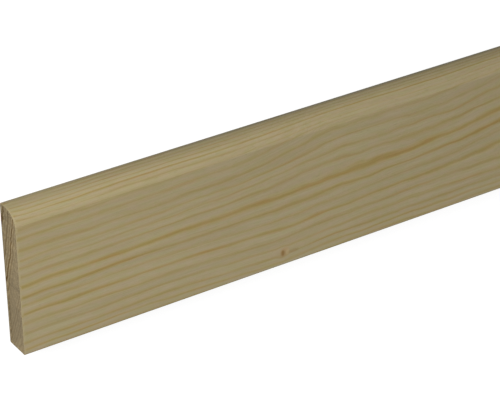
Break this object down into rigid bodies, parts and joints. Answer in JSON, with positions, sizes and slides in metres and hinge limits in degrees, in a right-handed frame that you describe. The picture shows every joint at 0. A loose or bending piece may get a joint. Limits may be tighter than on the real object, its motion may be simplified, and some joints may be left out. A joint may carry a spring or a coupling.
{
  "type": "skirting board length",
  "caption": "Length of planed softwood skirting board, flat on its back and floor edge, with its top edge rounded over to a shallow crease on the show face.",
  "frame": {"origin": "centre of the flat back face, on which the board lies", "axes": "+X along the board's length, +Y across its face from the floor edge towards the rounded top edge, +Z out of the show face"},
  "size_m": [2.4, 0.068, 0.013],
  "materials": {
    "pine": "bare planed softwood, unsealed, with fine latewood lines along its length"
  },
  "bodies": {
    "root": {"skirting_board": "pine"}
  },
  "joints": []
}
